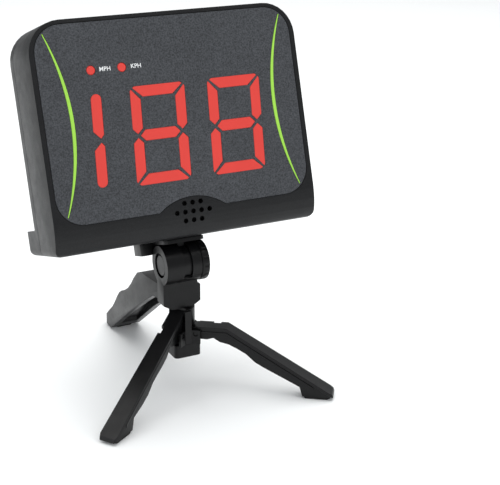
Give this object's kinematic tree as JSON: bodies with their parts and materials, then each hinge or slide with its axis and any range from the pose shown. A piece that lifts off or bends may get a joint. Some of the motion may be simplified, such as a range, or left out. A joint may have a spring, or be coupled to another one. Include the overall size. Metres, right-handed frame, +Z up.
{
  "type": "speed radar display",
  "caption": "Hands-free speed radar: a rounded case with large red segment digits, on a tilting head and a folding mini tripod whose wide rear leg is a grip.",
  "frame": {"origin": "middle of the footprint, on the ground under the foot pads", "axes": "+Z up; the display faces -Y and leans back; +X is to the right of someone reading the display"},
  "size_m": [0.205, 0.2116, 0.2876],
  "materials": {
    "case_black": "fine grain",
    "panel_black": "matte",
    "tripod_black": "satin",
    "led_red": "satin diffuser",
    "accent_green": "satin",
    "rubber_black": "matte",
    "steel": "plated",
    "brass": "turned",
    "board_green": "solder mask",
    "cone_paper": "paper",
    "cell_jacket": "printed sleeve"
  },
  "bodies": {
    "hub_body": {"hub": "tripod_black", "base_cap": "tripod_black", "hub_bolt": "steel"},
    "neck": {"tilt_housing": "tripod_black"},
    "clamp": {"clamp_knob": "tripod_black", "clamp_screw": "tripod_black"},
    "grip_leg_body": {"grip_leg": "tripod_black", "grip_leg_pin": "steel", "grip_leg_pad": "rubber_black"},
    "left_leg_body": {"left_leg": "tripod_black", "left_leg_pin": "tripod_black", "left_leg_pad": "rubber_black"},
    "right_leg_body": {"right_leg": "tripod_black", "right_leg_pin": "tripod_black", "right_leg_pad": "rubber_black"},
    "platform": {"tilt_stem": "tripod_black", "rubber_pad": "rubber_black", "camera_screw": "steel"},
    "case": {"front_shell": "case_black", "rear_cover": "case_black", "display_panel": "panel_black", "accent_stripe_left": "accent_green", "accent_stripe_right": "accent_green", "digit_hundreds": "led_red", "digit_tens": "led_red", "digit_ones": "led_red", "mph_lamp": "led_red", "kph_lamp": "led_red", "display_board": "board_green", "main_board": "board_green", "antenna_board": "board_green", "antenna_shield": "steel", "switch_board": "board_green", "speaker_basket": "steel", "speaker_cone": "cone_paper", "speaker_magnet": "steel", "case_screw_lower_left": "steel", "case_screw_lower_right": "steel", "case_screw_upper_left": "steel", "case_screw_upper_right": "steel", "cell_left_front": "cell_jacket", "cell_left_rear": "cell_jacket", "cell_right_front": "cell_jacket", "cell_right_rear": "cell_jacket", "contact_strip_left": "steel", "contact_strip_right": "steel", "spring_left_front": "steel", "spring_left_rear": "steel", "spring_right_front": "steel", "spring_right_rear": "steel", "tripod_insert": "brass"},
    "power_button_body": {"power_button": "rubber_black"},
    "unit_button_body": {"unit_button": "rubber_black"},
    "left_door": {"battery_door_left": "case_black"},
    "right_door": {"battery_door_right": "case_black"}
  },
  "joints": [
    {"name": "hub_turn", "type": "hinge", "parent": "hub_body", "child": "neck", "pos_m": [0, -0.03415, 0.069], "axis": [0, 0, 1], "range_deg": [-45, 45]},
    {"name": "left_leg_fold", "type": "hinge", "parent": "hub_body", "child": "left_leg_body", "pos_m": [-0.00989, -0.04095, 0.0493], "axis": [0.5664, -0.8241, 0], "range_deg": [0, 36]},
    {"name": "right_leg_fold", "type": "hinge", "parent": "hub_body", "child": "right_leg_body", "pos_m": [0.00989, -0.04095, 0.0493], "axis": [0.5664, 0.8241, 0], "range_deg": [0, 36]},
    {"name": "grip_leg_fold", "type": "hinge", "parent": "neck", "child": "grip_leg_body", "pos_m": [0, -0.02116, 0.0755], "axis": [-1, 0, 0], "range_deg": [0, 50]},
    {"name": "clamp_turn", "type": "hinge", "parent": "neck", "child": "clamp", "pos_m": [0.014, -0.03415, 0.104], "axis": [1, 0, 0], "range_deg": [0, 180]},
    {"name": "case_tilt", "type": "hinge", "parent": "neck", "child": "platform", "pos_m": [0, -0.03415, 0.104], "axis": [1, 0, 0], "range_deg": [-15, 75]},
    {"name": "case_turn", "type": "hinge", "parent": "platform", "child": "case", "pos_m": [0, -0.02807, 0.12274], "axis": [0, 0.309, 0.9511], "range_deg": [-12, 12]},
    {"name": "power_press", "type": "slide", "parent": "case", "child": "power_button_body", "axis": [0, -0.9511, 0.309], "range_m": [0, 0.001], "stiffness_N_per_m": 1500},
    {"name": "unit_press", "type": "slide", "parent": "case", "child": "unit_button_body", "axis": [0, -0.9511, 0.309], "range_m": [0, 0.001], "stiffness_N_per_m": 1500},
    {"name": "left_door_open", "type": "hinge", "parent": "case", "child": "left_door", "pos_m": [-0.06, -0.01713, 0.11918], "axis": [-1, 0, 0], "range_deg": [0, 95]},
    {"name": "right_door_open", "type": "hinge", "parent": "case", "child": "right_door", "pos_m": [0.06, -0.01713, 0.11918], "axis": [-1, 0, 0], "range_deg": [0, 95]}
  ]
}
